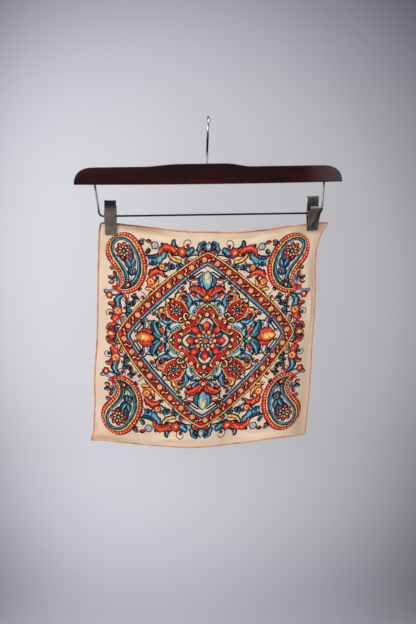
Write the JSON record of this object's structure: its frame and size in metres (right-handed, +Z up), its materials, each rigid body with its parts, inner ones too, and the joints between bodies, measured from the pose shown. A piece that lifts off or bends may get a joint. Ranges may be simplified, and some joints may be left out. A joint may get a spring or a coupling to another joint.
{
  "type": "pocket square on clip hanger",
  "caption": "Printed silk pocket square with a contrasting rolled hem, held flat by spring clips on the trouser wire of a lacquered wooden hanger with a steel hook.",
  "frame": {"origin": "inside top of the hook's bend, where the rail bears", "axes": "+Z up, +X along the bar to the viewer's right, the square's printed front towards -Y"},
  "size_m": [0.362, 0.0398, 0.4535],
  "materials": {
    "printed_silk": "printed silk twill with a soft sheen",
    "edging": "rolled copper-orange edge",
    "lacquered_wood": "dark mahogany lacquer, satin gloss",
    "chrome": "bright plated steel wire",
    "clip_steel": "dark brushed plate",
    "spring_steel": "plain spring steel"
  },
  "bodies": {
    "root": {"cloth_panel": "printed_silk", "hem_top": "edging", "hem_right": "edging", "hem_bottom": "edging", "hem_left": "edging", "hanger_bar": "lacquered_wood", "hook": "chrome", "wire_bar": "chrome", "clip_left_front": "clip_steel", "clip_left_back": "clip_steel", "clip_left_spring": "spring_steel", "clip_right_front": "clip_steel", "clip_right_back": "clip_steel", "clip_right_spring": "spring_steel"}
  },
  "joints": []
}
